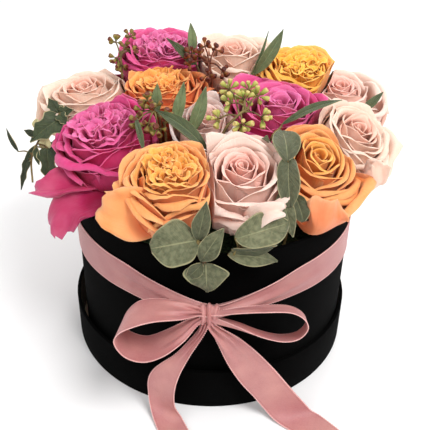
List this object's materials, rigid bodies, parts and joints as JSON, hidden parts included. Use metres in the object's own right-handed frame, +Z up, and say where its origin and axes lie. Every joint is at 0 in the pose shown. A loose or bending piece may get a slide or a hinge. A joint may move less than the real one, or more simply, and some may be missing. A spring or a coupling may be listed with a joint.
{
  "type": "rose box",
  "caption": "Round velvet hat box filled with a dome of roses and eucalyptus, standing in its upturned lid and tied with a satin ribbon bow.",
  "frame": {"origin": "on the box's axis, at the underside of the lid that it stands in", "axes": "+Z up, -Y towards the bow, +X to the viewer's right of the bow"},
  "size_m": [0.2742, 0.304, 0.2147],
  "materials": {
    "velvet": "flocked black velvet on board",
    "board": "bare grey-cream board",
    "film": "clear thin film",
    "foam": "wet green floral foam",
    "satin": "dusty pink satin with a dotted woven edge",
    "pink_petal": "soft hot pink petal",
    "orange_petal": "soft orange to peach petal",
    "yellow_petal": "soft yellow-orange petal",
    "blush_petal": "soft blush to cream petal",
    "rose_stem": "green stem and sepals",
    "eucalyptus": "matt grey-green leaf",
    "willow": "long green leaf with a pale rib",
    "vine": "dark green leaf",
    "seeded": "green-brown capsules and stalks"
  },
  "bodies": {
    "root": {"lid": "velvet", "box_wall": "velvet", "box_base": "board", "liner": "film", "foam": "foam", "ribbon_band": "satin", "ribbon_knot": "satin", "bow_loop_left": "satin", "bow_loop_right": "satin", "ribbon_tail_left": "satin", "ribbon_tail_right": "satin", "rose_pink_left": "pink_petal", "rose_pink_left_stem": "rose_stem", "rose_pink_back": "pink_petal", "rose_pink_back_stem": "rose_stem", "rose_pink_right": "pink_petal", "rose_pink_right_stem": "rose_stem", "rose_orange_left": "orange_petal", "rose_orange_left_stem": "rose_stem", "rose_orange_back": "orange_petal", "rose_orange_back_stem": "rose_stem", "rose_orange_right": "orange_petal", "rose_orange_right_stem": "rose_stem", "rose_yellow_back": "yellow_petal", "rose_yellow_back_stem": "rose_stem", "rose_blush_left": "blush_petal", "rose_blush_left_stem": "rose_stem", "rose_blush_front": "blush_petal", "rose_blush_front_stem": "rose_stem", "rose_cream_back": "blush_petal", "rose_cream_back_stem": "rose_stem", "rose_blush_back": "blush_petal", "rose_blush_back_stem": "rose_stem", "rose_blush_right": "blush_petal", "rose_blush_right_stem": "rose_stem", "rose_blush_centre": "blush_petal", "rose_blush_centre_stem": "rose_stem", "rose_rear_right": "orange_petal", "rose_rear_right_stem": "rose_stem", "rose_rear_middle": "blush_petal", "rose_rear_middle_stem": "rose_stem", "rose_rear_left": "pink_petal", "rose_rear_left_stem": "rose_stem", "eucalyptus_front_left": "eucalyptus", "eucalyptus_front_right": "eucalyptus", "eucalyptus_right": "eucalyptus", "eucalyptus_back": "eucalyptus", "willow_left": "willow", "willow_front_left": "willow", "willow_centre": "willow", "willow_back": "willow", "willow_back_left": "willow", "willow_right": "willow", "willow_far_right": "willow", "vine_left": "vine", "seeds_centre": "seeded", "seeds_back": "seeded", "seeds_back_left": "seeded", "seeds_left": "seeded"}
  },
  "joints": []
}
